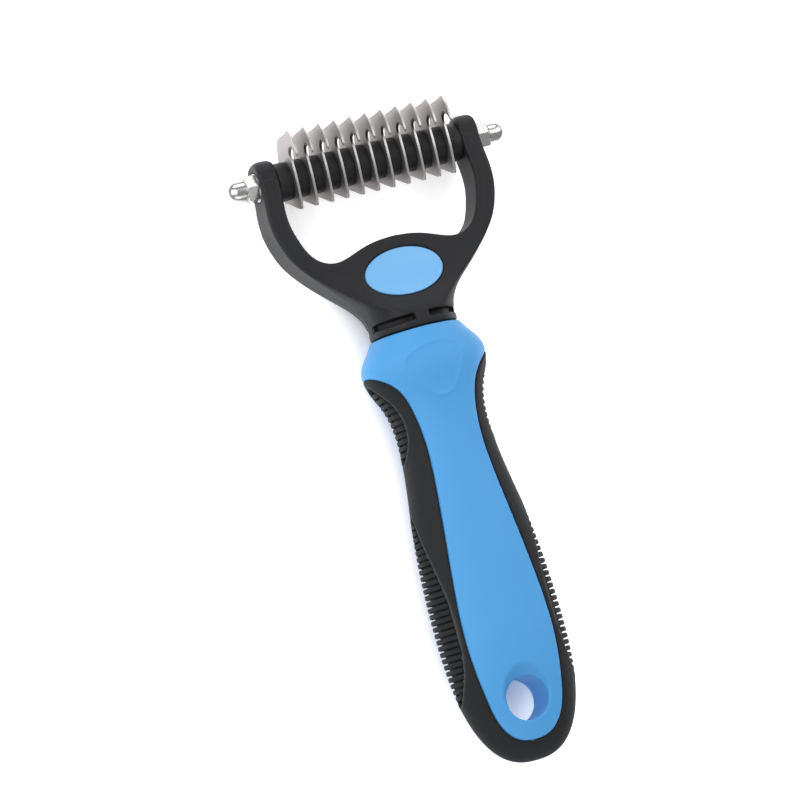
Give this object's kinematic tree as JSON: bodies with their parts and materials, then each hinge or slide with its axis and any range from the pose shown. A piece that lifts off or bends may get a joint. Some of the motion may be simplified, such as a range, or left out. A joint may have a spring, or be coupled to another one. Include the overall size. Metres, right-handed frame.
{
  "type": "dematting comb",
  "caption": "Pet-grooming dematting comb: hooked blades and spacers on a rod between the arms of a fork, clamped by dome nuts, on a two-colour ribbed handle with a hanging hole.",
  "frame": {"origin": "centre of the hanging hole, on the handle's mid-plane", "axes": "+X along the blade rod to the viewer's right, +Y up the handle towards the blades, +Z out of the face that the cutting edges look towards, along the hanging hole's axis"},
  "size_m": [0.096, 0.2101, 0.0295],
  "materials": {
    "blue_plastic": "satin moulded polypropylene, light blue",
    "light_blue_plastic": "smooth paler blue inlay",
    "core_plastic": "unseen natural plastic",
    "black_rubber": "soft matte over-moulded elastomer, ribbed",
    "blade_steel": "ground stainless steel, satin",
    "black_plastic": "satin black moulded plastic",
    "plated_steel": "zinc-plated steel",
    "nickel_plate": "bright nickel plating"
  },
  "bodies": {
    "handle_and_fork": {"fork": "black_plastic", "oval_inlay_front": "light_blue_plastic", "oval_inlay_back": "light_blue_plastic", "handle_core": "core_plastic", "handle_body": "blue_plastic", "side_grip": "black_rubber"},
    "blade_pack": {"rod": "plated_steel", "blade_01": "blade_steel", "blade_02": "blade_steel", "blade_03": "blade_steel", "blade_04": "blade_steel", "blade_05": "blade_steel", "blade_06": "blade_steel", "blade_07": "blade_steel", "blade_08": "blade_steel", "blade_09": "blade_steel", "blade_10": "blade_steel", "blade_11": "blade_steel", "spacer_01": "black_plastic", "spacer_02": "black_plastic", "spacer_03": "black_plastic", "spacer_04": "black_plastic", "spacer_05": "black_plastic", "spacer_06": "black_plastic", "spacer_07": "black_plastic", "spacer_08": "black_plastic", "spacer_09": "black_plastic", "spacer_10": "black_plastic", "end_spacer_left": "black_plastic", "end_spacer_right": "black_plastic"},
    "left_washer": {"washer_left": "plated_steel"},
    "left_nut": {"acorn_nut_left": "nickel_plate"},
    "right_washer": {"washer_right": "plated_steel"},
    "right_nut": {"acorn_nut_right": "nickel_plate"}
  },
  "joints": [
    {"name": "blade_pack_turn", "type": "hinge", "parent": "handle_and_fork", "child": "blade_pack", "pos_m": [0, 0.177, 0], "axis": [1, 0, 0], "continuous": true},
    {"name": "left_washer_slide", "type": "slide", "parent": "handle_and_fork", "child": "left_washer", "axis": [-1, 0, 0], "range_m": [0, 0.0058]},
    {"name": "left_nut_turn", "type": "hinge", "parent": "left_washer", "child": "left_nut", "pos_m": [-0.0376, 0.177, 0], "axis": [-1, 0, 0], "range_deg": [0, 2610]},
    {"name": "right_washer_slide", "type": "slide", "parent": "handle_and_fork", "child": "right_washer", "axis": [1, 0, 0], "range_m": [0, 0.0058]},
    {"name": "right_nut_turn", "type": "hinge", "parent": "right_washer", "child": "right_nut", "pos_m": [0.0376, 0.177, 0], "axis": [1, 0, 0], "range_deg": [0, 2610]}
  ],
  "couplings": [
    {"joint": "left_nut_turn", "follows": "left_washer_slide", "rad_per_m": 7854},
    {"joint": "right_nut_turn", "follows": "right_washer_slide", "rad_per_m": 7854}
  ]
}
